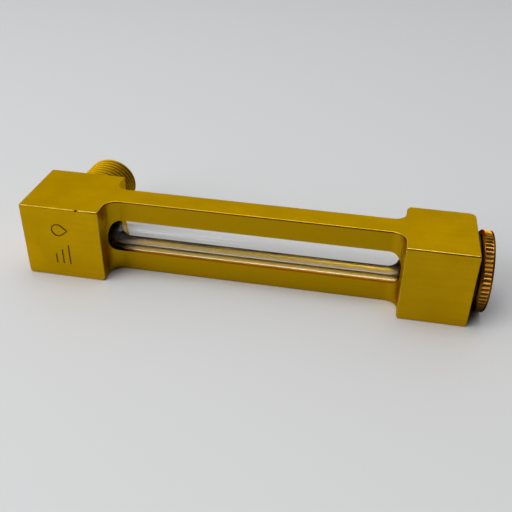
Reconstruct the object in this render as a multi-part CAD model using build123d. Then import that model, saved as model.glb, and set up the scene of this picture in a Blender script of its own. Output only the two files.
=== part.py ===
from build123d import *
import math
import os

# Column oil sight gauge: a milled square brass bar with a glass tube in its window, a pipe nipple
# on the side of its lower block, and a knurled filler plug screwed into its upper end.
# The gauge lies on its side here. All lengths are in millimetres.
#   origin  the nipple's axis, where it meets the rear face of the lower block
#   +X      along the bar, from the lower block to the filler plug
#   +Y      out of the open end of the nipple
#   +Z      up, square to both

# Bar
BAR = 19.05                 # three-quarter inch square bar stock
BODY_LENGTH = 105.6
LOWER_BLOCK = 19.5          # full-section block that holds the nipple
UPPER_BLOCK = 15.875        # full-section block that holds the plug
RELIEF_DEPTH = 6.35         # milled off the front and off the rear, a third of the bar each
RELIEF_CORNER = 3.25        # the cutter's corner, left where a relief meets a block
LOWER_REAR_CORNER = 0.45    # rear uprights of the lower block
UPPER_REAR_CORNER = 1.4     # and of the upper block, which is filed rounder
FRONT_CORNER = 0.35
TOP_BEVEL = 0.2
UNDERSIDE_ROUND = 0.35
PAST = 1.0                  # how far a cut runs past the face that it opens on

# Mark cut into the front of the lower block: an oil drop and three level lines, read with the
# gauge standing on its lower end
MARK_PLACE = (-0.35, -0.2)  # x and z of its middle
MARK_LENGTH = 11.0
MARK_STROKE = 0.38
MARK_DEPTH = 0.2
DROP_RADIUS = 1.7
DROP_TIP = 1.55             # distance of the tip from the middle of the drop's foot, in radii
LEVEL_LINES = (2.6, 4.0, 5.4)
LEVEL_SPACING = 1.7

# Pipe nipple: quarter-inch taper pipe thread, 18 threads to the inch
NIPPLE_OFFSET = 9.85        # from the lower end of the bar
NIPPLE_LENGTH = 14.9        # outside the block
NIPPLE_END_RADIUS = 6.63
PIPE_PITCH = 25.4 / 18
PIPE_TAPER = 1 / 32         # radius gained for each unit of length
PIPE_THREAD_DEPTH = 0.95
NIPPLE_NECK = 2.2           # plain length next to the block
NIPPLE_CHAMFER = 0.45
NIPPLE_SHANK_RADIUS = 4.7625
NIPPLE_SHANK = 3.65         # pressed and soldered into the block
NIPPLE_BORE_RADIUS = 3.175

# Glass tube and the seals round it
TUBE_RADIUS = 9.525 / 2
TUBE_BORE_RADIUS = 6.35 / 2
TUBE_WELL_RADIUS = 10.716 / 2   # bore in the bar, a twenty-seven sixty-fourth inch drill
SEAT_DEPTH = 12.8           # from the lower end of the bar to the shoulder that the tube stands on
PASSAGE_RADIUS = 3.0        # oil way from the nipple to the shoulder
SEAT_WASHER = 1.2
SEAT_WASHER_BORE_RADIUS = 3.0
LOWER_GROOVE_START = 16.0   # from the lower end of the bar
UPPER_GROOVE_START = 1.8    # from the window side of the upper block
GROOVE_WIDTH = 2.4
GROOVE_RADIUS = 6.25

# Upper end: one tapped hole takes the gland ring and, above it, the filler plug
PLUG_THREAD_RADIUS = 6.35
PLUG_PITCH = 25.4 / 20
THREAD_CLEARANCE = 0.05
TAPPED_DEPTH = 10.45
TUBE_STAND_OUT = 0.3        # tube end above the floor of the tapped hole
GLAND_RING = 2.4
GLAND_BORE_RADIUS = 3.4
GLAND_SLOT = 1.2
GLAND_SLOT_DEPTH = 0.9
GASKET = 0.8
GASKET_RADIUS = 8.4
GASKET_BORE_RADIUS = 6.45

# Filler plug
HEAD_RADIUS = 9.45
HEAD = 2.7
HEAD_INNER_BAND = 0.55      # plain rim on the gasket side of the knurl
KNURL_WIDTH = 1.65
KNURL_TEETH = 57
KNURL_DEPTH = 0.32
KNURL_OPENING = 0.62        # share of the knurl's pitch that a groove takes at the rim
HEAD_CHAMFER = 0.4
HEAD_INNER_CHAMFER = 0.35
SHANK = 6.5                 # from the underside of the head
SHANK_RELIEF = 1.3
SHANK_CHAMFER = 0.7
PLUG_THREAD_DEPTH = 0.7
VENT_RADIUS = 0.8

# Thread ridges: shares of one pitch for the crest flat, each flank and the root flat
RIDGE_SHARES = ((0.0, 0.0), (0.2, 0.0), (0.5, 1.0), (0.7, 1.0))

# Places along the bar, worked out from the sizes above
AXIS_Y = -BAR / 2
LOWER_END = -NIPPLE_OFFSET
UPPER_END = LOWER_END + BODY_LENGTH
WINDOW_START = LOWER_END + LOWER_BLOCK
WINDOW_END = UPPER_END - UPPER_BLOCK
SEAT = LOWER_END + SEAT_DEPTH
TUBE_START = SEAT + SEAT_WASHER
TAPPED_FLOOR = UPPER_END - TAPPED_DEPTH
TUBE_END = TAPPED_FLOOR + TUBE_STAND_OUT
GLAND_START = TUBE_END + SEAT_WASHER
LOWER_GROOVE = LOWER_END + LOWER_GROOVE_START
UPPER_GROOVE = WINDOW_END + UPPER_GROOVE_START
HEAD_START = UPPER_END + GASKET
HEAD_END = HEAD_START + HEAD
BAR_AXIS = Axis((0, AXIS_Y, 0), (1, 0, 0))
TOUCH = 1e-3                # how near a face or corner lies to the plane it is picked by


def turned_on_bar(points):
    """A solid of revolution about the bar's axis, from (x, radius) corners."""
    outline = Polyline([(x, AXIS_Y + radius) for x, radius in points], close=True)
    return revolve(make_face(outline), BAR_AXIS)


def turned_on_nipple(points):
    """A solid of revolution about the nipple's axis, from (y, radius) corners."""
    outline = Polyline([(radius, y) for y, radius in points], close=True)
    return revolve(make_face(outline), Axis.Y)


def ring(start, end, radius, bore=0.0):
    """A rod about the bar's axis, or a ring where it has a bore."""
    return turned_on_bar([(start, bore), (end, bore), (end, radius), (start, radius)])


def ridges(start, count, pitch, depth, radius_at):
    """Corners of a row of ring-shaped thread ridges, as (distance, radius)."""
    corners = []
    for turn in range(count):
        for share, drop in RIDGE_SHARES:
            place = start + (turn + share) * pitch
            corners.append((place, radius_at(place) - drop * depth))
    return corners


def rounded_corners(plan, start, end, y, radius):
    """Round the corners of one block, between start and end, on the line of one face of the bar."""
    corners = [v for v in plan.vertices() if abs(v.Y - y) < TOUCH and start - TOUCH < v.X < end + TOUCH]
    return fillet(corners, radius)


def body_plan():
    """The bar seen from above: two blocks with a thin waist between them."""
    plan = Pos((LOWER_END + UPPER_END) / 2, AXIS_Y) * Rectangle(BODY_LENGTH, BAR)
    window_length = WINDOW_END - WINDOW_START
    relief = RectangleRounded(window_length, 2 * RELIEF_DEPTH, RELIEF_CORNER)
    for face_y in (0, -BAR):
        plan -= Pos((WINDOW_START + WINDOW_END) / 2, face_y) * relief
    for start, end, rear_corner in (
        (LOWER_END, WINDOW_START, LOWER_REAR_CORNER),
        (WINDOW_END, UPPER_END, UPPER_REAR_CORNER),
    ):
        plan = rounded_corners(plan, start, end, 0, rear_corner)
        plan = rounded_corners(plan, start, end, -BAR, FRONT_CORNER)
    return plan


def body_bores():
    """Everything that is drilled or turned out of the bar. The drilled ways cross and run past."""
    cuts = ring(SEAT, UPPER_END + PAST, TUBE_WELL_RADIUS)
    cuts += ring(TAPPED_FLOOR, UPPER_END + PAST, PLUG_THREAD_RADIUS)
    for groove in (LOWER_GROOVE, UPPER_GROOVE):
        cuts += ring(groove, groove + GROOVE_WIDTH, GROOVE_RADIUS)
    cuts += ring(-PAST, SEAT + PAST, PASSAGE_RADIUS)
    cuts += turned_on_nipple([
        (AXIS_Y - PAST, 0), (AXIS_Y - PAST, PASSAGE_RADIUS),
        (-NIPPLE_SHANK, PASSAGE_RADIUS), (-NIPPLE_SHANK, NIPPLE_SHANK_RADIUS),
        (PAST, NIPPLE_SHANK_RADIUS), (PAST, 0),
    ])
    return cuts


def drop(radius):
    """A drop with its tip upwards, round about the origin."""
    turn = math.acos(1 / DROP_TIP)
    side = radius * math.sin(turn)
    height = radius * math.cos(turn)
    point = Polyline([(0, 0), (side, height), (0, radius * DROP_TIP), (-side, height)], close=True)
    return Circle(radius) + make_face(point)


def level_mark():
    """The cut of the mark. Its plan has x along the width of the bar and y up the gauge."""
    drop_x = DROP_RADIUS - MARK_LENGTH / 2
    drop_y = (1 - DROP_TIP) * DROP_RADIUS / 2
    mark = Pos(drop_x, drop_y) * (drop(DROP_RADIUS) - drop(DROP_RADIUS - MARK_STROKE))
    for row, length in enumerate(LEVEL_LINES):
        height = (row - 1) * LEVEL_SPACING
        mark += Pos(MARK_LENGTH / 2 - length / 2, height) * Rectangle(length, MARK_STROKE)
    front = Plane(origin=(MARK_PLACE[0], -BAR, MARK_PLACE[1]), x_dir=(0, 0, -1), z_dir=(0, -1, 0))
    return extrude(front * mark, MARK_DEPTH, both=True)


def gauge_body():
    body = extrude(body_plan(), BAR / 2, both=True)
    top = body.edges().filter_by(lambda edge: abs(edge.center().Z - BAR / 2) < TOUCH)
    body = chamfer(top, TOP_BEVEL)
    underside = body.edges().filter_by(lambda edge: abs(edge.center().Z + BAR / 2) < TOUCH)
    body = fillet(underside, UNDERSIDE_ROUND)
    return body - body_bores() - level_mark()


def pipe_nipple():
    def radius_at(y):
        return NIPPLE_END_RADIUS + (NIPPLE_LENGTH - y) * PIPE_TAPER

    threads = int((NIPPLE_LENGTH - NIPPLE_NECK) / PIPE_PITCH)
    thread_end = NIPPLE_NECK + threads * PIPE_PITCH
    corners = [
        (-NIPPLE_SHANK, NIPPLE_BORE_RADIUS), (-NIPPLE_SHANK, NIPPLE_SHANK_RADIUS),
        (0, NIPPLE_SHANK_RADIUS), (0, radius_at(0)),
    ]
    corners += ridges(NIPPLE_NECK, threads, PIPE_PITCH, PIPE_THREAD_DEPTH, radius_at)
    corners += [(thread_end, radius_at(thread_end)), (NIPPLE_LENGTH, NIPPLE_END_RADIUS)]
    corners.append((NIPPLE_LENGTH, NIPPLE_BORE_RADIUS))
    chamfer_start = NIPPLE_LENGTH - NIPPLE_CHAMFER
    crest = radius_at(chamfer_start)
    reach = NIPPLE_CHAMFER + PAST
    trim = turned_on_nipple([
        (chamfer_start, crest + PAST), (chamfer_start, crest),
        (chamfer_start + reach, crest - reach), (chamfer_start + reach, crest + PAST),
    ])
    return turned_on_nipple(corners) - trim


def seat_washer(start, radius):
    return ring(start, start + SEAT_WASHER, radius, SEAT_WASHER_BORE_RADIUS)


def tube_seal(groove, skirt_start, skirt_end):
    """A rubber seal: a bead in its groove, and a thin skirt round the glass up to the window."""
    bead = ring(groove, groove + GROOVE_WIDTH, GROOVE_RADIUS, TUBE_RADIUS)
    return bead + ring(skirt_start, skirt_end, TUBE_WELL_RADIUS, TUBE_RADIUS)


def gland_ring():
    """A screwed ring with a screwdriver slot across its outer face."""
    end = GLAND_START + GLAND_RING
    body = ring(GLAND_START, end, PLUG_THREAD_RADIUS - THREAD_CLEARANCE, GLAND_BORE_RADIUS)
    slot = Box(2 * GLAND_SLOT_DEPTH, GLAND_SLOT, 4 * PLUG_THREAD_RADIUS)
    return body - Pos(end, AXIS_Y, 0) * slot


def knurl_grooves(start, width, count):
    """Straight V grooves round the rim of the head."""
    pitch_angle = 360 / count
    slope = math.pi * HEAD_RADIUS / count * KNURL_OPENING / KNURL_DEPTH
    half_width = slope * (KNURL_DEPTH + PAST)
    notch = Polyline(
        [(0, HEAD_RADIUS - KNURL_DEPTH), (half_width, HEAD_RADIUS + PAST), (-half_width, HEAD_RADIUS + PAST)],
        close=True,
    )
    across_bar = Plane(origin=(start, AXIS_Y, 0), x_dir=(0, 1, 0), z_dir=(1, 0, 0))
    groove = extrude(across_bar * make_face(notch), width)
    return [groove.rotate(BAR_AXIS, turn * pitch_angle) for turn in range(count)]


def filler_plug():
    shank_radius = PLUG_THREAD_RADIUS - THREAD_CLEARANCE
    root_radius = shank_radius - PLUG_THREAD_DEPTH
    tip = HEAD_START - SHANK
    thread_start = tip + SHANK_CHAMFER
    threads = int((SHANK - SHANK_CHAMFER - SHANK_RELIEF) / PLUG_PITCH)
    thread_end = thread_start + threads * PLUG_PITCH
    corners = [(tip, VENT_RADIUS), (tip, root_radius)]
    corners += ridges(thread_start, threads, PLUG_PITCH, PLUG_THREAD_DEPTH, lambda place: shank_radius)
    corners += [
        (thread_end, root_radius), (HEAD_START, root_radius),
        (HEAD_START, HEAD_RADIUS - HEAD_INNER_CHAMFER), (HEAD_START + HEAD_INNER_CHAMFER, HEAD_RADIUS),
        (HEAD_END - HEAD_CHAMFER, HEAD_RADIUS), (HEAD_END, HEAD_RADIUS - HEAD_CHAMFER),
        (HEAD_END, VENT_RADIUS),
    ]
    plug = turned_on_bar(corners)
    return plug - knurl_grooves(HEAD_START + HEAD_INNER_BAND, KNURL_WIDTH, KNURL_TEETH)


NODES = {
    "gauge_body": gauge_body(),
    "pipe_nipple": pipe_nipple(),
    "lower_seat_washer": seat_washer(SEAT, TUBE_WELL_RADIUS),
    "lower_tube_seal": tube_seal(LOWER_GROOVE, LOWER_GROOVE, WINDOW_START),
    "sight_tube": ring(TUBE_START, TUBE_END, TUBE_RADIUS, TUBE_BORE_RADIUS),
    "upper_tube_seal": tube_seal(UPPER_GROOVE, WINDOW_END, UPPER_GROOVE + GROOVE_WIDTH),
    "upper_seat_washer": seat_washer(TUBE_END, PLUG_THREAD_RADIUS),
    "gland_ring": gland_ring(),
    "plug_gasket": ring(UPPER_END, HEAD_START, GASKET_RADIUS, GASKET_BORE_RADIUS),
    "filler_plug": filler_plug(),
}

os.makedirs("parts", exist_ok=True)
for name, solid in NODES.items():
    export_step(solid, os.path.join("parts", name + ".step"))
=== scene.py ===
import math

import bmesh
import bpy
from mathutils import Matrix, Vector


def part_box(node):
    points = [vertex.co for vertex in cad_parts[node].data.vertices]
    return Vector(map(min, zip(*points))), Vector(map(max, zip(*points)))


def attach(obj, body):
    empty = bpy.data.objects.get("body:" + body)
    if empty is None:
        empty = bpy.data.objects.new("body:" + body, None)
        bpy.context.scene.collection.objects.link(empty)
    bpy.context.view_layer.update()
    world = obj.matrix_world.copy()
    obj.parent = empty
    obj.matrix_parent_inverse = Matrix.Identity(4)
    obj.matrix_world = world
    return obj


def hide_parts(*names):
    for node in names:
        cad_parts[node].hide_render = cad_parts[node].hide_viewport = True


# Column oil sight gauge, lying on a pale table: the looks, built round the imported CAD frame.
# Lengths in this script are in metres; MM turns millimetres into metres.

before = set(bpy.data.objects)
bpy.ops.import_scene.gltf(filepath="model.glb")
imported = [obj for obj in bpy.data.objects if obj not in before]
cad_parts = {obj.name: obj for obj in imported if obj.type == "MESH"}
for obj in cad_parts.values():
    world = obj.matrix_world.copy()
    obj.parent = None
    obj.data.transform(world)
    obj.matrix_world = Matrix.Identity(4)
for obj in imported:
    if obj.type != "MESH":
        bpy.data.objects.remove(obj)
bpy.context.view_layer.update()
MM = 0.001
SCENE = bpy.context.scene

# Places and sizes taken from the frame
BODY_LOW, BODY_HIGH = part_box("gauge_body")
NIPPLE_LOW, NIPPLE_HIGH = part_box("pipe_nipple")
TUBE_LOW, TUBE_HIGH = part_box("sight_tube")
PLUG_LOW, PLUG_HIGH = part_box("filler_plug")
GASKET_LOW, GASKET_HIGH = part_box("plug_gasket")
GLAND_LOW, GLAND_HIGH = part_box("gland_ring")
AXIS_Y = (TUBE_LOW.y + TUBE_HIGH.y) / 2
BAR = BODY_HIGH.z - BODY_LOW.z
TUBE_RADIUS = (TUBE_HIGH.z - TUBE_LOW.z) / 2
HEAD_RADIUS = (PLUG_HIGH.z - PLUG_LOW.z) / 2
GASKET_RADIUS = (GASKET_HIGH.z - GASKET_LOW.z) / 2
SHANK_RADIUS = (GLAND_HIGH.z - GLAND_LOW.z) / 2

# Sizes that the frame's boxes don't give, the same as in the CAD model
WINDOW_START = BODY_LOW.x + 19.5 * MM
WINDOW_END = BODY_HIGH.x - 15.875 * MM
RELIEF_DEPTH = 6.35 * MM
RELIEF_CORNER = 3.25 * MM
REAR_CORNER = 1.4 * MM
LOWER_REAR_CORNER = 0.45 * MM   # the lower block's, left sharper
FRONT_CORNER = 0.35 * MM
TOP_EDGE = 0.35 * MM            # radii of the bar's long edges, and of those across its ends
UNDERSIDE_EDGE = 0.35 * MM
UNDERSIDE_CROSS_EDGE = 0.85 * MM
WELL_RADIUS = 10.716 / 2 * MM
TUBE_BORE_RADIUS = 3.175 * MM
TUBE_SOFT_SHARE = 0.35          # of the glass's wall, rounded off by fire polishing at each corner
SEAT_WASHER = 1.2 * MM          # thickness
PASSAGE_RADIUS = 3.0 * MM
NIPPLE_SHANK_RADIUS = 4.7625 * MM
NIPPLE_BORE_RADIUS = 3.175 * MM
NIPPLE_END_RADIUS = 6.63 * MM
NIPPLE_NECK = 2.2 * MM
NIPPLE_CHAMFER = 0.45 * MM
NIPPLE_FOOT = 0.25 * MM         # small slopes at the foot of the nipple and in its mouth
NIPPLE_MOUTH = 0.3 * MM
NIPPLE_THREAD_INSIDE = 5.2 * MM # radius inside which no thread is cut
PIPE_PITCH = 25.4 / 18 * MM
PIPE_TAPER = 1 / 32
PIPE_THREAD_DEPTH = 0.95 * MM
TAPPED_RADIUS = 6.35 * MM
PLUG_PITCH = 25.4 / 20 * MM
PLUG_THREAD_DEPTH = 0.7 * MM
PLUG_THREAD_INSIDE = 0.98       # share of the shank's radius inside which no thread is cut
PLUG_SHANK_RELIEF = 1.3 * MM
PLUG_SHANK_CHAMFER = 0.7 * MM
TUBE_STAND_OUT = 0.3 * MM       # how far the glass reaches past the tapped hole's floor
GROOVE_WIDTH = 2.4 * MM
SHARP_ANGLE = math.radians(35)
SLIP = 0.01 * MM                # kept between faces that would otherwise coincide
SKIN = 0.02 * MM                # how far off a surface or an end still counts as being at it
PAST = 1.0 * MM                 # how far a cutter runs past the face it opens on
HEAD = 2.7 * MM
HEAD_INNER_BAND = 0.55 * MM
HEAD_INNER_CHAMFER = 0.35 * MM
HEAD_CHAMFER = 0.4 * MM
KNURL_WIDTH = 1.65 * MM
KNURL_TEETH = 57
KNURL_DEPTH = 0.32 * MM
KNURL_SLOPE = 0.12 * MM         # at each end of a groove
KNURL_INSIDE = 0.9              # share of the head's radius inside which no knurl is cut
VENT_RADIUS = 0.8 * MM
MARK_PLACE = Vector((-0.35 * MM, BODY_LOW.y, -0.2 * MM))
MARK_LENGTH = 11.0 * MM
MARK_HALF_HEIGHT = 3.0 * MM     # a little more than half of the mark's height
MARK_STROKE = 0.38 * MM
MARK_DEPTH = 0.2 * MM
DROP_RADIUS = 1.7 * MM
DROP_TIP = 1.55                 # distance of the tip from the middle of the drop's foot, in radii
LEVEL_LINES = (2.6 * MM, 4.0 * MM, 5.4 * MM)
LEVEL_SPACING = 1.7 * MM
NICK_X = 4.45 * MM              # a dent in the lower block's top front edge
NICK_RADIUS = 0.42 * MM

# How finely round shapes are divided, round their axis and along it
TURNED_SEGMENTS = 160
NIPPLE_SEGMENTS = 216
TUBE_SEGMENTS = 192
SEGMENTS_PER_TOOTH = 10
DRILL_SEGMENTS = 120
NICK_SEGMENTS = 12
CORNER_STEPS = 6
HEAD_CORNER_STEPS = 5
ROUND_EDGE_STEPS = 8
FILLET_STEPS = 24
DROP_STEPS = 32
PIPE_THREAD_ROWS = 260
PLUG_THREAD_ROWS = 56
KNURL_ROWS = 24

# How the body's faces are told apart by their normals, and how much wear with painted highlight, grime
# and painted shade they get
FLAT = 0.99                     # a normal with at least this much of a direction lies along it
STEEP = 0.75                    # a normal that rises less than this is a steep face's
WALL = 0.1                      # a normal with less than this along the bar is a lengthwise face's
EDGE_SHADE_IN_WINDOW, EDGE_SHADE_ON_BLOCKS = 0.9, 0.6
WEAR_AND_HIGHLIGHT_IN_WINDOW, WEAR_AND_HIGHLIGHT_ON_BLOCKS, WEAR_AND_HIGHLIGHT_BESIDE_WINDOW = 0.2, 0.7, 0.25
GRIME_IN_MARK, GRIME_IN_NICK = 0.65, 1.0

# A turned shape's own frame has its axis along z; these lay it along the bar and along the nipple
ALONG_BAR = Matrix(((0, 0, 1, 0), (1, 0, 0, AXIS_Y), (0, 1, 0, 0), (0, 0, 0, 1)))
ALONG_NIPPLE = Matrix(((0, 1, 0, 0), (0, 0, 1, 0), (1, 0, 0, 0), (0, 0, 0, 1)))


# ---------------------------------------------------------------- camera, light and floor

AZIMUTH, ELEVATION, ROLL = math.radians(10.3), math.radians(33.15), math.radians(1.13)
CAMERA_DISTANCE = 0.164
CAMERA_LENS = 49.1
SENSOR_WIDTH = 36.0
NEAR_CLIP = 0.005
AIM = Vector(((BODY_LOW.x + BODY_HIGH.x) / 2 + 3.3 * MM, AXIS_Y - 5.0 * MM, 0.0))
DARK_ROOM = (0.05, 0.05, 0.055, 1)
PALE_ROOM = (0.70, 0.71, 0.74, 1)
PALE_SIDE = (-0.9, 0.9, 0.85)   # the way to the pale side of the room
DARK_UNTIL, PALE_FROM = 0.48, 0.85
LIGHTS_AIM = (0.04, 0, 0)
SOFTBOXES = (                   # name, place, width and height, power in watts
    ("softbox_front", (-0.50, -0.48, 0.46), (0.85, 0.6), 5.6),
    ("softbox_top", (0.0, 0.05, 0.8), (0.6, 0.35), 2.0),
)
FLOOR_HALF = 2.5


def make_camera():
    """The camera above the front, a little to the right and slightly rolled."""
    data = bpy.data.cameras.new("camera")
    data.lens = CAMERA_LENS
    data.sensor_width = SENSOR_WIDTH
    data.clip_start = NEAR_CLIP
    camera = bpy.data.objects.new("camera", data)
    SCENE.collection.objects.link(camera)
    back = Vector((
        math.sin(AZIMUTH) * math.cos(ELEVATION),
        -math.cos(AZIMUTH) * math.cos(ELEVATION),
        math.sin(ELEVATION),
    ))
    camera.rotation_mode = "QUATERNION"
    turn = (-back).to_track_quat("-Z", "Y").to_matrix().to_4x4() @ Matrix.Rotation(ROLL, 4, "Z")
    camera.rotation_quaternion = turn.to_quaternion()
    camera.location = AIM + back * CAMERA_DISTANCE
    SCENE.camera = camera


def area_light(name, place, size, power):
    """A softbox turned to the gauge."""
    data = bpy.data.lights.new(name, "AREA")
    data.shape = "RECTANGLE"
    data.size, data.size_y = size
    data.energy = power
    lamp = bpy.data.objects.new(name, data)
    SCENE.collection.objects.link(lamp)
    lamp.location = place
    lamp.rotation_mode = "QUATERNION"
    lamp.rotation_quaternion = (Vector(LIGHTS_AIM) - Vector(place)).to_track_quat("-Z", "Y")


def make_world():
    """A pale room, darker low down on the camera's side and to the right."""
    world = bpy.data.worlds.new("studio")
    world.use_nodes = True
    tree = world.node_tree
    direction = tree.nodes.new("ShaderNodeTexCoord").outputs["Generated"]
    share = tree.nodes.new("ShaderNodeVectorMath")
    share.operation = "DOT_PRODUCT"
    share.inputs[1].default_value = PALE_SIDE
    ramp = tree.nodes.new("ShaderNodeValToRGB")
    ramp.color_ramp.elements[0].position = DARK_UNTIL
    ramp.color_ramp.elements[0].color = DARK_ROOM
    ramp.color_ramp.elements[1].position = PALE_FROM
    ramp.color_ramp.elements[1].color = PALE_ROOM
    spread = tree.nodes.new("ShaderNodeMapRange")
    spread.inputs["From Min"].default_value = -1.0
    tree.links.new(direction, share.inputs[0])
    tree.links.new(share.outputs["Value"], spread.inputs["Value"])
    tree.links.new(spread.outputs["Result"], ramp.inputs["Fac"])
    tree.links.new(ramp.outputs["Color"], tree.nodes["Background"].inputs["Color"])
    SCENE.world = world


def make_lights():
    """One softbox in front and one above."""
    for softbox in SOFTBOXES:
        area_light(*softbox)


def make_floor():
    """The table top, which is not part of the gauge."""
    mesh = bpy.data.meshes.new("table_top")
    bm = bmesh.new()
    bmesh.ops.create_grid(bm, x_segments=1, y_segments=1, size=FLOOR_HALF)
    bm.to_mesh(mesh)
    bm.free()
    floor = bpy.data.objects.new("table_top", mesh)
    SCENE.collection.objects.link(floor)
    floor.location.z = BODY_LOW.z
    mesh.materials.append(table_material())


# ---------------------------------------------------------------- node helpers


class Nodes:
    """A short way to wire one material's nodes."""

    def __init__(self, name):
        self.material = bpy.data.materials.new(name)
        self.material.use_nodes = True
        self.tree = self.material.node_tree
        self.shader = self.tree.nodes["Principled BSDF"]

    def add(self, kind, **settings):
        node = self.tree.nodes.new("ShaderNode" + kind)
        for key, value in settings.items():
            setattr(node, key, value)
        return node

    def link(self, source, target):
        if isinstance(source, (int, float)):
            target.default_value = source
        elif isinstance(source, tuple):
            lacks_alpha = len(source) < len(target.default_value)
            target.default_value = (*source, 1) if lacks_alpha else source
        else:
            self.tree.links.new(source, target)

    def place(self, scale=(1, 1, 1)):
        """Object coordinates, stretched."""
        mapping = self.add("Mapping")
        mapping.inputs["Scale"].default_value = scale
        self.link(self.add("TexCoord").outputs["Object"], mapping.inputs["Vector"])
        return mapping.outputs["Vector"]

    def along(self, axis):
        """One of the object coordinates."""
        split = self.add("SeparateXYZ")
        self.link(self.place(), split.inputs["Vector"])
        return split.outputs[axis]

    def noise(self, scale, detail, stretch=(1, 1, 1)):
        """Noise between 0 and 1."""
        node = self.add("TexNoise")
        self.link(self.place(stretch), node.inputs["Vector"])
        node.inputs["Scale"].default_value = scale
        node.inputs["Detail"].default_value = detail
        return node.outputs["Fac"]

    def turning_marks(self, scale, distortion):
        """Fine rings about the bar's axis."""
        mapping = self.add("Mapping")
        mapping.inputs["Location"].default_value = (0, -AXIS_Y, 0)
        self.link(self.add("TexCoord").outputs["Object"], mapping.inputs["Vector"])
        wave = self.add("TexWave", wave_type="RINGS", rings_direction="X")
        self.link(mapping.outputs["Vector"], wave.inputs["Vector"])
        wave.inputs["Scale"].default_value = scale
        wave.inputs["Distortion"].default_value = distortion
        return wave.outputs["Fac"]

    def ramp(self, value, low, high, to_low=0.0, to_high=1.0):
        """A value from one range to another, held at its ends."""
        node = self.add("MapRange")
        self.link(value, node.inputs["Value"])
        node.inputs["From Min"].default_value = low
        node.inputs["From Max"].default_value = high
        node.inputs["To Min"].default_value = to_low
        node.inputs["To Max"].default_value = to_high
        return node.outputs["Result"]

    def math(self, operation, first, second=0.0):
        node = self.add("Math", operation=operation)
        self.link(first, node.inputs[0])
        self.link(second, node.inputs[1])
        return node.outputs["Value"]

    def mix(self, share, first, second):
        """A colour between two colours."""
        node = self.add("Mix", data_type="RGBA")
        sockets = [socket for socket in node.inputs if socket.enabled]
        for source, socket in zip((share, first, second), sockets, strict=True):
            self.link(source, socket)
        return next(socket for socket in node.outputs if socket.enabled)

    def bump(self, height, strength, distance, below=None):
        """A normal with a fine relief, over another relief where below is given."""
        node = self.add("Bump")
        self.link(height, node.inputs["Height"])
        node.inputs["Strength"].default_value = strength
        node.inputs["Distance"].default_value = distance
        if below is not None:
            self.link(below, node.inputs["Normal"])
        return node.outputs["Normal"]

    def attribute(self, name):
        """What the mesh says of itself under a name."""
        return self.add("Attribute", attribute_name=name).outputs["Fac"]

    def set(self, **inputs):
        """Set or link the shader's inputs."""
        for key, value in inputs.items():
            self.link(value, self.shader.inputs[key.replace("_", " ")])


# ---------------------------------------------------------------- materials


def table_material():
    """Plain pale paint, for the floor only."""
    n = Nodes("table")
    n.set(Base_Color=(0.585, 0.585, 0.58), Roughness=0.6)
    return n.material


GRAIN_DEPTH = 0.03 * MM         # also the depth of milling lines
TURNING_DEPTH = 0.02 * MM
FIBRE_DEPTH = 0.04 * MM
POLISH = 0.19                   # how much less rough worn and bored faces are
GOLD = (0.53, 0.312, 0.0028)
GOLD_AT_GRAZING = (1.0, 0.74, 0.1)
# pale brass of the worn edges, which also serves as a painted highlight
WORN_BRASS_AND_HIGHLIGHT = (0.80, 0.62, 0.26)
# dark brown of grime, also used as painted shade
GRIME_AND_SHADE = (0.07, 0.035, 0.008)
BORE_SHADE = (0.012, 0.009, 0.005)
BORE_SHADE_SPAN = (WINDOW_START + 1.5 * MM, WINDOW_START + 7.0 * MM)     # painted shade deep in the bore by the window's lower end, fading out along it


def scaled(colour, share):
    """A colour made darker or lighter."""
    return tuple(c * share for c in colour)


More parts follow.
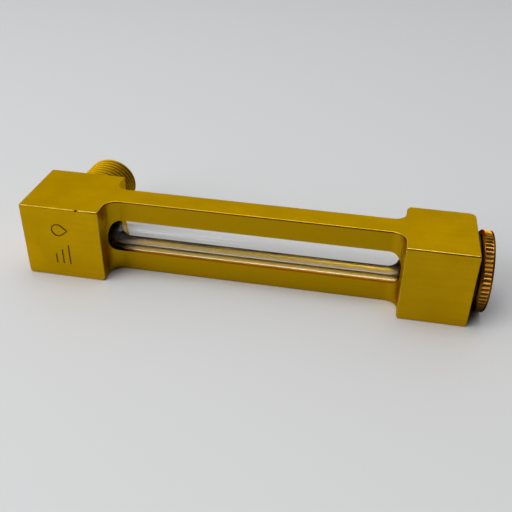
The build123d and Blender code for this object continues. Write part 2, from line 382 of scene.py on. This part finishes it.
def gold_material(name, tint=GOLD, dullness=0.0):
    """Yellow-dipped brass: satin, with faint milling lines, fine grain, small pits and worn edges that
    carry a painted highlight; painted shade darkens the milled faces, the lower half of the front top
    edges and the bore by the window.
    """
    n = Nodes(name)
    lines = n.noise(scale=1500, detail=2, stretch=(0.04, 1, 1))
    patches = n.noise(scale=110, detail=3)
    grain = n.noise(scale=4200, detail=2)
    dull, fresh, streak_and_shade = scaled(tint, 0.93), scaled(tint, 1.05), scaled(tint, 0.8)
    colour = n.mix(n.ramp(patches, 0.35, 0.65), dull, fresh)
    colour = n.mix(n.ramp(lines, 0.4, 0.7, to_high=0.25), colour, streak_and_shade)
    # painted shade: the milled faces in the window made darker
    colour = n.mix(n.math("MULTIPLY", n.attribute("milled"), 0.9), colour, streak_and_shade)
    pits = n.ramp(n.noise(scale=1900, detail=1), 0.765, 0.80, to_high=0.55)
    # grime in the pits, the mark, the nick and the thread roots, and painted shade, a dark reflection,
    # on the lower half of the front top edges
    grime_and_shade = n.math("MAXIMUM", pits, n.attribute("grime_and_shade"))
    colour = n.mix(grime_and_shade, colour, GRIME_AND_SHADE)
    # worn edges, made paler also as a painted highlight where the front edges catch the light
    wear_and_highlight = n.ramp(n.noise(scale=420, detail=3), 0.38, 0.55, to_high=0.45)
    worn_and_highlit = n.math("MULTIPLY", n.attribute("edge"), wear_and_highlight)
    colour = n.mix(worn_and_highlit, colour, WORN_BRASS_AND_HIGHLIGHT)
    # painted shade deep in the bore by the window's lower end, where little light gets in
    bore_shade = n.ramp(n.along("X"), *BORE_SHADE_SPAN, to_low=0.95, to_high=0.0)
    bore_shade = n.math("MULTIPLY", n.attribute("bored"), bore_shade)
    colour = n.mix(bore_shade, colour, BORE_SHADE)
    n.set(Metallic=1.0, Base_Color=colour, Specular_Tint=GOLD_AT_GRAZING)
    smooth = n.math("MAXIMUM", n.attribute("bored"), n.attribute("edge"))
    roughness = n.ramp(patches, 0.3, 0.7, to_low=0.33 + dullness, to_high=0.42 + dullness)
    n.set(Roughness=n.math("SUBTRACT", roughness, n.math("MULTIPLY", smooth, POLISH)))
    normal = n.bump(grain, strength=0.18, distance=GRAIN_DEPTH)
    n.set(Normal=n.bump(lines, strength=0.15, distance=GRAIN_DEPTH, below=normal))
    return n.material


COPPER = (0.22, 0.085, 0.012)
COPPER_AT_GRAZING = (0.35, 0.16, 0.03)
KNURL_BRIGHT = (0.95, 0.45, 0.05)


def copper_material():
    """Tarnished brass: brown in the knurl's grooves, bright on its crests, with painted shade making it
    darkest low down.
    """
    n = Nodes("plug_metal")
    patches = n.noise(scale=260, detail=3)
    dull, fresh = scaled(COPPER, 0.8), scaled(COPPER, 1.15)
    colour = n.mix(n.ramp(patches, 0.3, 0.7), dull, fresh)
    colour = n.mix(n.attribute("grime_and_shade"), colour, GRIME_AND_SHADE)
    crests = n.math("MULTIPLY", n.attribute("edge"), n.ramp(patches, 0.3, 0.6))
    colour = n.mix(crests, colour, KNURL_BRIGHT)
    # painted shade: darker towards the bottom
    low, high = -HEAD_RADIUS * 0.5, HEAD_RADIUS * 0.1
    painted_low_shade = n.ramp(n.along("Z"), low, high, to_low=0.93, to_high=0.0)
    colour = n.mix(painted_low_shade, colour, scaled(GRIME_AND_SHADE, 0.3))
    n.set(Metallic=1.0, Base_Color=colour, Specular_Tint=COPPER_AT_GRAZING)
    n.set(Roughness=n.ramp(patches, 0.3, 0.7, to_low=0.26, to_high=0.4))
    grain = n.bump(n.noise(scale=3000, detail=2), strength=0.2, distance=GRAIN_DEPTH)
    rings = n.turning_marks(scale=1100, distortion=1.5)
    n.set(Normal=n.bump(rings, strength=0.25, distance=TURNING_DEPTH, below=grain))
    return n.material


def glass_material():
    """Clear glass that mirrors little where it is looked at squarely."""
    n = Nodes("tube_glass")
    n.set(Base_Color=(0.985, 0.99, 0.985), Roughness=0.0, IOR=1.474, Transmission_Weight=1.0)
    n.set(Specular_Tint=(0.3, 0.3, 0.3))
    return n.material


def rubber_material():
    """Black rubber of the seals and the gasket."""
    n = Nodes("seal_rubber")
    n.set(Base_Color=(0.015, 0.015, 0.015), Roughness=0.6)
    n.set(Normal=n.bump(n.noise(scale=4000, detail=2), strength=0.3, distance=GRAIN_DEPTH))
    return n.material


def fibre_material():
    """Red-brown pressed fibre of the seat washers."""
    n = Nodes("fibre")
    colour = n.mix(n.noise(scale=1500, detail=3), (0.10, 0.02, 0.012), (0.22, 0.05, 0.03))
    n.set(Base_Color=colour, Roughness=0.75)
    n.set(Normal=n.bump(n.noise(scale=2500, detail=3), strength=0.4, distance=FIBRE_DEPTH))
    return n.material


# ---------------------------------------------------------------- mesh helpers


def add_piece(name, mesh, material, body, node):
    """An object from a mesh, that rides a body and stands for a CAD node."""
    mesh.materials.clear()
    mesh.materials.append(material)
    piece = bpy.data.objects.new(name, mesh)
    SCENE.collection.objects.link(piece)
    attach(piece, body)
    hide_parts(node)


def applied_mesh(piece, name):
    """The piece's mesh with its modifiers applied."""
    bpy.context.view_layer.update()
    depsgraph = bpy.context.evaluated_depsgraph_get()
    mesh = bpy.data.meshes.new_from_object(piece.evaluated_get(depsgraph))
    mesh.name = name
    return mesh


def settled(mesh):
    """The mesh shaded smooth, its corners kept sharp and its large faces kept flat."""
    mesh.shade_smooth()
    mesh.set_sharp_from_angle(angle=SHARP_ANGLE)
    holder = bpy.data.objects.new("holder", mesh)
    SCENE.collection.objects.link(holder)
    normals = holder.modifiers.new("flat_faces", "WEIGHTED_NORMAL")
    normals.keep_sharp = True
    result = applied_mesh(holder, mesh.name)
    bpy.data.objects.remove(holder)
    return result


def filled_mesh(name, bm):
    """A mesh from a closed bmesh, its faces turned outwards."""
    bmesh.ops.recalc_face_normals(bm, faces=bm.faces)
    mesh = bpy.data.meshes.new(name)
    bm.to_mesh(mesh)
    bm.free()
    return mesh


def turned_mesh(name, outline, place, segments=TURNED_SEGMENTS, relief=None):
    """A ring-shaped solid turned from its section.

    outline is the section's closed row of (distance, radius) corners. relief gives how much a point
    of the surface, at (distance, radius, angle), is cut in, and how grimy and how worn it is there.
    """
    bm = bmesh.new()
    grime_and_shade = bm.verts.layers.float.new("grime_and_shade")
    edge = bm.verts.layers.float.new("edge")
    rings = []
    for s, r in outline:
        row = []
        for i in range(segments):
            angle = 2 * math.pi * i / segments
            cut, dirt, wear_and_highlight = relief(s, r, angle) if relief else (0.0, 0.0, 0.0)
            radius = r - cut
            vert = bm.verts.new(place @ Vector((radius * math.cos(angle), radius * math.sin(angle), s)))
            vert[grime_and_shade] = dirt
            vert[edge] = wear_and_highlight
            row.append(vert)
        rings.append(row)
    for row, after in zip(rings, rings[1:] + rings[:1]):
        for i in range(segments):
            j = (i + 1) % segments
            bm.faces.new((row[i], row[j], after[j], after[i]))
    return settled(filled_mesh(name, bm))


def rows(start, end, count):
    """Evenly spaced distances from start to end, both included."""
    return [start + (end - start) * i / count for i in range(count + 1)]


def arc(centre, radius, start, end, count):
    """Points along an arc, its angles in degrees."""
    points = []
    for angle in rows(math.radians(start), math.radians(end), count):
        points.append((centre[0] + radius * math.cos(angle), centre[1] + radius * math.sin(angle)))
    return points


def eased(share):
    """A share held between 0 and 1, with a soft start and end."""
    share = min(1.0, max(0.0, share))
    return share * share * (3 - 2 * share)


def thread_relief(start, end, pitch, depth, turned_radius):
    """A relief for turned_mesh: a right-hand V thread that runs out at both ends."""
    run_out = 0.6 * pitch
    steepness = 1.3             # above 1, so that crests and roots get flats

    def relief(s, r, angle):
        if not start < s < end or r < turned_radius:
            return 0.0, 0.0, 0.0
        phase = (s / pitch - angle / (2 * math.pi)) % 1.0
        share = eased((1 - abs(2 * phase - 1)) * steepness - (steepness - 1) / 2)
        fade = eased(min((s - start) / run_out, (end - s) / run_out))
        return depth * share * fade, share * fade, 0.0

    return relief


def knurl_relief(start, end, teeth, depth, radius):
    """A relief for turned_mesh: straight V grooves round a rim, with a short slope at each end."""
    steepness, offset = 1.5, 0.3    # flat crests, and a narrower flat in each groove

    def relief(s, r, angle):
        if not start < s < end or r < radius * KNURL_INSIDE:
            return 0.0, 0.0, 0.0
        phase = (angle * teeth / (2 * math.pi)) % 1.0
        share = min(1.0, max(0.0, (1 - abs(2 * phase - 1)) * steepness - offset))
        fade = min(1.0, (s - start) / KNURL_SLOPE, (end - s) / KNURL_SLOPE)
        return depth * share * fade, share * fade, 1.0 - share

    return relief


# ---------------------------------------------------------------- the gauge body


def rounding(height, radius):
    """How far a rounded edge draws back from its face, at a height measured from the other face."""
    drop = radius - min(radius, max(0.0, height))
    return radius - math.sqrt(radius * radius - drop * drop)


def edge_levels():
    """Heights of the bar's rings, each with what its edges draw back along x and along y."""
    levels = []
    for angle in rows(0, math.pi / 2, ROUND_EDGE_STEPS):
        height = UNDERSIDE_CROSS_EDGE * (1 - math.cos(angle))
        back = rounding(height, UNDERSIDE_CROSS_EDGE), rounding(height, UNDERSIDE_EDGE)
        levels.append((BODY_LOW.z + height, *back))
    for angle in rows(math.pi / 2, 0, CORNER_STEPS):
        height = TOP_EDGE * (1 - math.cos(angle))
        back = rounding(height, TOP_EDGE)
        levels.append((BODY_HIGH.z - height, back, back))
    return levels


def stack(name, rings):
    """A solid through a row of rings, lowest first, each with its own height."""
    bm = bmesh.new()
    verts = [[bm.verts.new(corner) for corner in ring] for ring in rings]
    bm.faces.new(verts[0])
    bm.faces.new(verts[-1])
    for low, high in zip(verts, verts[1:]):
        for i in range(len(low)):
            j = (i + 1) % len(low)
            bm.faces.new((low[i], low[j], high[j], high[i]))
    solid = bpy.data.objects.new(name, filled_mesh(name, bm))
    SCENE.collection.objects.link(solid)
    return solid


def square_bar():
    """The bar before milling. Each ring is the plan drawn in, so that the edges come out rounded."""
    left, right, front, rear = BODY_LOW.x, BODY_HIGH.x, BODY_LOW.y, BODY_HIGH.y
    plan = []
    for x, y, r, start in (
        (left, front, FRONT_CORNER, 180), (right, front, FRONT_CORNER, 270),
        (right, rear, REAR_CORNER, 0), (left, rear, LOWER_REAR_CORNER, 90),
    ):
        centre = x + (r if x == left else -r), y + (r if y == front else -r)
        plan += arc(centre, r, start, start + 90, CORNER_STEPS)
    middle_x, middle_y = (left + right) / 2, (front + rear) / 2
    rings = []
    for z, back_x, back_y in edge_levels():
        share_x = 1 - back_x / (right - middle_x)
        share_y = 1 - back_y / (rear - middle_y)
        rings.append([
            (middle_x + (x - middle_x) * share_x, middle_y + (y - middle_y) * share_y, z)
            for x, y in plan
        ])
    return stack("bar", rings)


def relief_cutter(name, face, way, lower_corner, upper_corner):
    """What is milled off one face of the bar. It widens towards top and underside, which rounds the
    edges that it leaves. way is the direction into the bar; the corners round the blocks' uprights."""
    half = (WINDOW_END - WINDOW_START) / 2
    middle = (WINDOW_END + WINDOW_START) / 2
    sides = []
    for corner in (lower_corner, upper_corner):
        side = [(half + corner, -PAST)]
        upright = arc((0, 0), corner, 90, 0, CORNER_STEPS)
        side += [(half + corner - x, corner - SLIP - y) for x, y in upright]
        fillet = half - RELIEF_CORNER, RELIEF_DEPTH - RELIEF_CORNER
        side += arc(fillet, RELIEF_CORNER, 0, 90, FILLET_STEPS)
        sides.append(side)
    outline = sides[1] + [(-x, y) for x, y in reversed(sides[0])]
    levels = edge_levels()
    levels = [(BODY_LOW.z - PAST, *levels[0][1:])] + levels + [(BODY_HIGH.z + PAST, *levels[-1][1:])]
    rings = []
    for z, back_x, back_y in levels:
        rings.append([
            (middle + x * (1 + back_x / half), face + way * y * (1 + back_y / RELIEF_DEPTH), z)
            for x, y in outline
        ])
    return stack(name, rings)


def prism(name, loops, start, end, place):
    """A solid with one section all along: an outline, and a hole in it where loops has two rows."""
    bm = bmesh.new()
    rings = []
    for loop in loops:
        rings.append([[bm.verts.new(place @ Vector((x, y, s))) for x, y in loop] for s in (start, end)])
    count = len(loops[0])
    for low, high in rings:
        for i in range(count):
            j = (i + 1) % count
            bm.faces.new((low[i], low[j], high[j], high[i]))
    for side in (0, 1):
        if len(rings) == 1:
            bm.faces.new(rings[0][side])
            continue
        outer, inner = rings[0][side], rings[1][side]
        for i in range(count):
            j = (i + 1) % count
            bm.faces.new((outer[i], outer[j], inner[j], inner[i]))
    solid = bpy.data.objects.new(name, filled_mesh(name, bm))
    SCENE.collection.objects.link(solid)
    return solid


def drill(name, start, end, radius, place=ALONG_BAR):
    """A round cutter about an axis."""
    return prism(name, [arc((0, 0), radius, 0, 360, DRILL_SEGMENTS)[:-1]], start, end, place)


def drop_outline(radius, middle):
    """A drop with its tip upwards, round about its foot's middle."""
    half = math.degrees(math.acos(1 / DROP_TIP))
    foot = arc(middle, radius, 90 + half, 450 - half, DROP_STEPS)
    return foot + [(middle[0], middle[1] + radius * DROP_TIP)]


def mark_cutters():
    """The mark in the lower block's front face. Its plan has x across the bar and y along it."""
    turn = Matrix(((0, 1, 0, 0), (0, 0, -1, 0), (-1, 0, 0, 0), (0, 0, 0, 1)))
    place = Matrix.Translation(MARK_PLACE) @ turn
    middle = (DROP_RADIUS - MARK_LENGTH / 2, (1 - DROP_TIP) * DROP_RADIUS / 2)
    rings = [drop_outline(radius, middle) for radius in (DROP_RADIUS, DROP_RADIUS - MARK_STROKE)]
    cutters = [prism("mark_drop", rings, -MARK_DEPTH, MARK_DEPTH, place)]
    for row, length in enumerate(LEVEL_LINES):
        height = (row - 1) * LEVEL_SPACING
        right = MARK_LENGTH / 2
        bar = [(x, height + y * MARK_STROKE / 2) for x, y in (
            (right - length, -1), (right, -1), (right, 1), (right - length, 1),
        )]
        cutters.append(prism("mark_line", [bar], -MARK_DEPTH, MARK_DEPTH, place))
    return cutters


def nick_cutter():
    """A dent in the lower block's top front edge."""
    place = Matrix.Translation((NICK_X, BODY_LOW.y, BODY_HIGH.z))
    section = arc((0, 0), NICK_RADIUS, 0, 360, NICK_SEGMENTS)[:-1]
    return prism("nick", [section], -NICK_RADIUS, NICK_RADIUS, place)


def note_finish(mesh):
    """Say on each face how much wear and painted highlight an edge gets, how much grime or painted
    shade it gets, whether it is bored smooth, and whether it was left by milling, which gets painted
    shade.
    """
    layers = {}
    for name in ("edge", "grime_and_shade", "bored", "milled"):
        layers[name] = mesh.attributes.new(name, "FLOAT", "FACE").data
    nick = Vector((NICK_X, BODY_LOW.y, BODY_HIGH.z))
    for face in mesh.polygons:
        x, y, z = face.center
        along, across, upward = face.normal
        found = {}
        in_window = WINDOW_START < x < WINDOW_END
        # the front top edges' rounding: its lower half gets painted shade, a dark reflection of the
        # room in front, and its upper half gets wear with a painted highlight
        if y < AXIS_Y and z > BODY_HIGH.z - TOP_EDGE and upward < FLAT:
            if upward < STEEP:
                found["grime_and_shade"] = EDGE_SHADE_IN_WINDOW if in_window else EDGE_SHADE_ON_BLOCKS
            else:
                found["edge"] = WEAR_AND_HIGHLIGHT_IN_WINDOW if in_window else WEAR_AND_HIGHLIGHT_ON_BLOCKS
        # the uprights beside the window: wear with a painted highlight
        beside_window = min(abs(x - WINDOW_START), abs(x - WINDOW_END)) < FRONT_CORNER
        if beside_window and y < BODY_LOW.y + FRONT_CORNER and abs(across) < FLAT:
            found["edge"] = WEAR_AND_HIGHLIGHT_BESIDE_WINDOW
        up_mark, along_mark = abs(x - MARK_PLACE.x), abs(z - MARK_PLACE.z)
        in_mark = up_mark < MARK_HALF_HEIGHT and along_mark < MARK_LENGTH / 2 + SKIN
        if in_mark and SKIN < y - BODY_LOW.y < MARK_DEPTH + SKIN:
            found["grime_and_shade"] = GRIME_IN_MARK
        if (face.center - nick).length < NICK_RADIUS:
            found["grime_and_shade"] = GRIME_IN_NICK
        if math.hypot(y - AXIS_Y, z) < WELL_RADIUS + SKIN and abs(along) < WALL:
            found["bored"] = 1.0
        # milled faces in the window, which get painted shade
        elif in_window and abs(y - AXIS_Y) < BAR / 2 - FRONT_CORNER and abs(z) < BODY_HIGH.z - SKIN:
            found["milled"] = 1.0
        for name, value in found.items():
            layers[name][face.index].value = value


def groove(seal):
    """Start, end and radius of the groove that holds a seal's bead, at the far side from the window."""
    low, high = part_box(seal)
    start = low.x if seal == "lower_tube_seal" else high.x - GROOVE_WIDTH
    return start, start + GROOVE_WIDTH, (high.z - low.z) / 2 + SLIP


def make_body():
    """The bar, milled and drilled, with its mark and its nick."""
    bar = square_bar()
    seat = TUBE_LOW.x - SEAT_WASHER
    tapped_floor = TUBE_HIGH.x - TUBE_STAND_OUT
    past = BODY_HIGH.x + PAST
    cutters = [
        relief_cutter("front_relief", BODY_LOW.y, 1, FRONT_CORNER, FRONT_CORNER),
        relief_cutter("rear_relief", BODY_HIGH.y, -1, LOWER_REAR_CORNER, REAR_CORNER),
        drill("well", seat, past, WELL_RADIUS),
        drill("lower_groove", *groove("lower_tube_seal")),
        drill("upper_groove", *groove("upper_tube_seal")),
        drill("tapped_hole", tapped_floor, past, TAPPED_RADIUS),
        drill("oil_way", -PAST / 2, seat + PAST, PASSAGE_RADIUS),
        drill("cross_way", AXIS_Y - PAST, PAST, PASSAGE_RADIUS, ALONG_NIPPLE),
        drill("nipple_socket", NIPPLE_LOW.y, PAST, NIPPLE_SHANK_RADIUS, ALONG_NIPPLE),
        nick_cutter(),
    ]
    cutters += mark_cutters()
    for rod in cutters:
        cut = bar.modifiers.new(rod.name, "BOOLEAN")
        cut.operation = "DIFFERENCE"
        cut.solver = "EXACT"
        cut.object = rod
    mesh = settled(applied_mesh(bar, "body_milled"))
    note_finish(mesh)
    for item in cutters + [bar]:
        bpy.data.objects.remove(item)
    add_piece("body_milled", mesh, gold_material("body_gold"), "gauge", "gauge_body")


# ---------------------------------------------------------------- nipple, tube, plug and seals


def make_nipple():
    """The pipe nipple, with a helical thread."""
    def radius_at(y):
        return NIPPLE_END_RADIUS + (NIPPLE_HIGH.y - y) * PIPE_TAPER

    end = NIPPLE_HIGH.y
    rim = end - NIPPLE_CHAMFER
    outline = [(NIPPLE_LOW.y, NIPPLE_BORE_RADIUS), (NIPPLE_LOW.y, NIPPLE_SHANK_RADIUS)]
    outline += [(0, NIPPLE_SHANK_RADIUS), (0, radius_at(0) - NIPPLE_FOOT)]
    outline.append((NIPPLE_FOOT, radius_at(NIPPLE_FOOT)))
    threaded = rows(NIPPLE_NECK - PIPE_PITCH / 2, rim, PIPE_THREAD_ROWS)
    outline += [(s, radius_at(s)) for s in threaded]
    outline += [(s, radius_at(s) - (s - rim)) for s in rows(rim, end, CORNER_STEPS)[1:]]
    outline += [(end, NIPPLE_BORE_RADIUS + NIPPLE_MOUTH), (end - NIPPLE_MOUTH, NIPPLE_BORE_RADIUS)]
    thread_end = end + PIPE_PITCH
    relief = thread_relief(NIPPLE_NECK, thread_end, PIPE_PITCH, PIPE_THREAD_DEPTH, NIPPLE_THREAD_INSIDE)
    mesh = turned_mesh("nipple_threaded", outline, ALONG_NIPPLE, NIPPLE_SEGMENTS, relief)
    metal = gold_material("nipple_gold", tint=scaled(GOLD, 0.9), dullness=0.15)
    add_piece("nipple_threaded", mesh, metal, "gauge", "pipe_nipple")


def make_tube():
    """Glass with fire-polished ends."""
    soft = TUBE_SOFT_SHARE * (TUBE_RADIUS - TUBE_BORE_RADIUS)
    low, high = TUBE_LOW.x + soft, TUBE_HIGH.x - soft
    inner, outer = TUBE_BORE_RADIUS + soft, TUBE_RADIUS - soft
    outline = []
    for centre, start in (
        ((low, inner), 270), ((low, outer), 180), ((high, outer), 90), ((high, inner), 0),
    ):
        outline += arc(centre, soft, start, start - 90, CORNER_STEPS)
    mesh = turned_mesh("glass_tube", outline, ALONG_BAR, TUBE_SEGMENTS)
    add_piece("glass_tube", mesh, glass_material(), "gauge", "sight_tube")


def make_plug():
    """The filler plug, with a helical thread and a knurled rim."""
    head_start, head_end = PLUG_HIGH.x - HEAD, PLUG_HIGH.x
    tip = PLUG_LOW.x
    root = SHANK_RADIUS - PLUG_THREAD_DEPTH
    relief_start = head_start - PLUG_SHANK_RELIEF
    knurl_start = head_start + HEAD_INNER_BAND
    knurl_end = knurl_start + KNURL_WIDTH
    outline = [(tip, VENT_RADIUS), (tip, root)]
    threaded = rows(tip + PLUG_SHANK_CHAMFER, relief_start, PLUG_THREAD_ROWS)
    outline += [(s, SHANK_RADIUS) for s in threaded]
    outline += [(relief_start, root), (head_start, root)]
    outline.append((head_start, HEAD_RADIUS - HEAD_INNER_CHAMFER))
    outline.append((head_start + HEAD_INNER_CHAMFER, HEAD_RADIUS))
    outline += [(s, HEAD_RADIUS) for s in rows(knurl_start - SKIN, knurl_end + SKIN, KNURL_ROWS)]
    corner = head_end - HEAD_CHAMFER, HEAD_RADIUS - HEAD_CHAMFER
    outline += arc(corner, HEAD_CHAMFER, 90, 0, HEAD_CORNER_STEPS)
    outline += [(head_end, VENT_RADIUS)]
    thread_inside = SHANK_RADIUS * PLUG_THREAD_INSIDE
    thread = thread_relief(tip, relief_start, PLUG_PITCH, PLUG_THREAD_DEPTH, thread_inside)
    knurl = knurl_relief(knurl_start, knurl_end, KNURL_TEETH, KNURL_DEPTH, HEAD_RADIUS)

    def relief(s, r, angle):
        return thread(s, r, angle) if s < head_start else knurl(s, r, angle)

    mesh = turned_mesh("plug_knurled", outline, ALONG_BAR, KNURL_TEETH * SEGMENTS_PER_TOOTH, relief)
    add_piece("plug_knurled", mesh, copper_material(), "plug", "filler_plug")


def make_seals():
    """The rubber round the glass, seen at both ends of the window, and the plug's gasket."""
    rubber = rubber_material()
    inner, skirt = TUBE_RADIUS + SLIP, WELL_RADIUS - SLIP
    for name in ("lower_tube_seal", "upper_tube_seal"):
        low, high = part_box(name)
        bead = (high.z - low.z) / 2
        groove_start, groove_end, _ = groove(name)
        if name == "lower_tube_seal":
            outline = [(low.x, bead), (groove_end, bead), (groove_end, skirt), (high.x, skirt)]
        else:
            outline = [(low.x, skirt), (groove_start, skirt), (groove_start, bead), (high.x, bead)]
        outline += [(high.x, inner), (low.x, inner)]
        mesh = turned_mesh(name + "_rubber", outline, ALONG_BAR)
        add_piece(name + "_rubber", mesh, rubber, "gauge", name)
    start, end = GASKET_LOW.x, GASKET_HIGH.x
    soft = (end - start) / 2
    outline = [(start, TAPPED_RADIUS + SLIP)]
    outline += arc((start + soft, GASKET_RADIUS - soft), soft, 180, 0, ROUND_EDGE_STEPS)
    outline += [(end, TAPPED_RADIUS + SLIP)]
    mesh = turned_mesh("gasket_rubber", outline, ALONG_BAR)
    add_piece("gasket_rubber", mesh, rubber, "gasket", "plug_gasket")


def dress_cad_nodes():
    """Pieces hidden inside keep their CAD shape and only get their finish."""
    finishes = {
        "lower_seat_washer": fibre_material(),
        "upper_seat_washer": fibre_material(),
        "gland_ring": gold_material("gland_gold"),
    }
    for name, material in finishes.items():
        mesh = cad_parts[name].data
        mesh.materials.clear()
        mesh.materials.append(material)


make_camera()
make_world()
make_lights()
make_floor()
make_body()
make_nipple()
make_tube()
make_plug()
make_seals()
dress_cad_nodes()
SCENE.view_settings.view_transform = "Standard"
